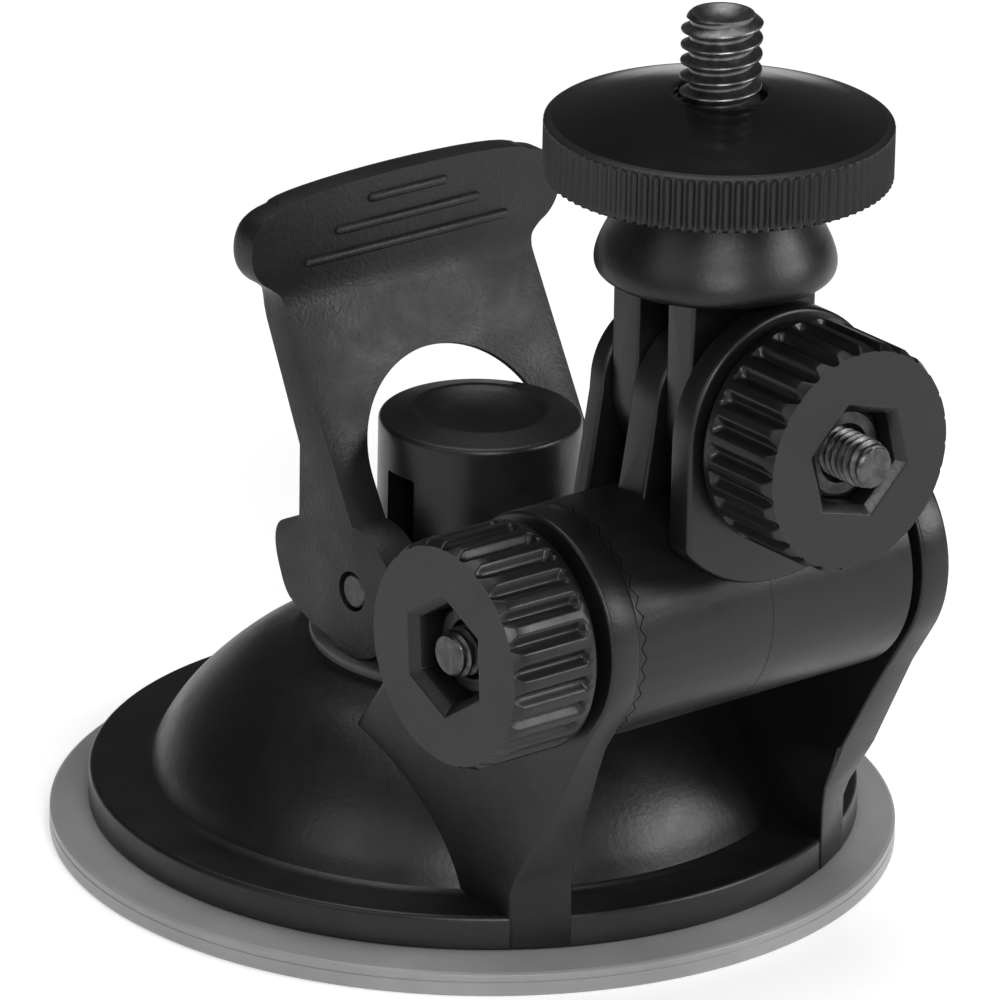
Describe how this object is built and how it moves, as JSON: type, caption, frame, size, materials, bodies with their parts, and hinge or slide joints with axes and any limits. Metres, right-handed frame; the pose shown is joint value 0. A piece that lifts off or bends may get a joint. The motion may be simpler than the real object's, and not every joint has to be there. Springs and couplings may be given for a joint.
{
  "type": "suction cup windscreen mount",
  "caption": "Suction-cup windscreen mount with a cam locking lever, a toothed tilt barrel, a hand-knob fork joint and a camera screw with a knurled lock wheel",
  "frame": {"origin": "centre of the suction face, on the glass", "axes": "+Z points away from the glass and is the rest direction of the camera screw, X is the axis of the tilt barrel with the tilt knob on -X, the locking lever stands on +Y and the fork and its knob are on -Y"},
  "size_m": [0.0682, 0.0821, 0.0773],
  "materials": {
    "black_plastic": "fine satin moulded ABS",
    "gloss_black_plastic": "smooth moulded, knurled edge",
    "grey_plastic": "worn smooth acetal",
    "soft_pvc": "smooth translucent grey soft PVC",
    "steel": "zinc plated",
    "blackened_steel": "black zinc",
    "brass": "turned"
  },
  "bodies": {
    "base": {"base_housing": "black_plastic", "cam_washer": "grey_plastic", "suction_cup": "soft_pvc", "tilt_bolt": "blackened_steel"},
    "plunger": {"plunger": "black_plastic", "suction_cup_centre": "soft_pvc", "lever_pin": "steel", "return_spring": "steel"},
    "lever": {"lock_lever": "black_plastic"},
    "arm": {"arm_barrel": "black_plastic", "fork_bolt": "blackened_steel"},
    "tilt_knob": {"tilt_knob": "black_plastic", "tilt_nut": "blackened_steel", "tilt_washer": "steel"},
    "fork_knob": {"fork_knob": "black_plastic", "fork_nut": "blackened_steel", "fork_washer": "steel"},
    "head": {"camera_head": "black_plastic", "camera_stud": "blackened_steel"},
    "lock_wheel": {"lock_wheel": "gloss_black_plastic", "wheel_insert": "brass"}
  },
  "joints": [
    {"name": "plunger_lift", "type": "slide", "parent": "base", "child": "plunger", "axis": [0, 0, 1], "range_m": [0, 0.0047], "deforming": ["return_spring"]},
    {"name": "lever_lock", "type": "hinge", "parent": "plunger", "child": "lever", "pos_m": [0, 0, 0.0233], "axis": [-1, 0, 0], "range_deg": [0, 90]},
    {"name": "arm_tilt", "type": "hinge", "parent": "base", "child": "arm", "pos_m": [0, -0.0284, 0.0304], "axis": [1, 0, 0], "range_deg": [-20, 100]},
    {"name": "tilt_knob_spin", "type": "hinge", "parent": "base", "child": "tilt_knob", "pos_m": [-0.0221, -0.0284, 0.0304], "axis": [-1, 0, 0], "continuous": true},
    {"name": "head_tilt", "type": "hinge", "parent": "arm", "child": "head", "pos_m": [0, -0.0284, 0.0462], "axis": [0, 1, 0], "range_deg": [-60, 60]},
    {"name": "fork_knob_spin", "type": "hinge", "parent": "arm", "child": "fork_knob", "pos_m": [0, -0.0421, 0.0462], "axis": [0, -1, 0], "continuous": true},
    {"name": "lock_wheel_spin", "type": "hinge", "parent": "head", "child": "lock_wheel", "pos_m": [0, -0.0284, 0.0665], "axis": [0, 0, 1], "continuous": true}
  ],
  "couplings": [
    {"joint": "lever_lock", "follows": "plunger_lift", "rad_per_m": 333}
  ]
}
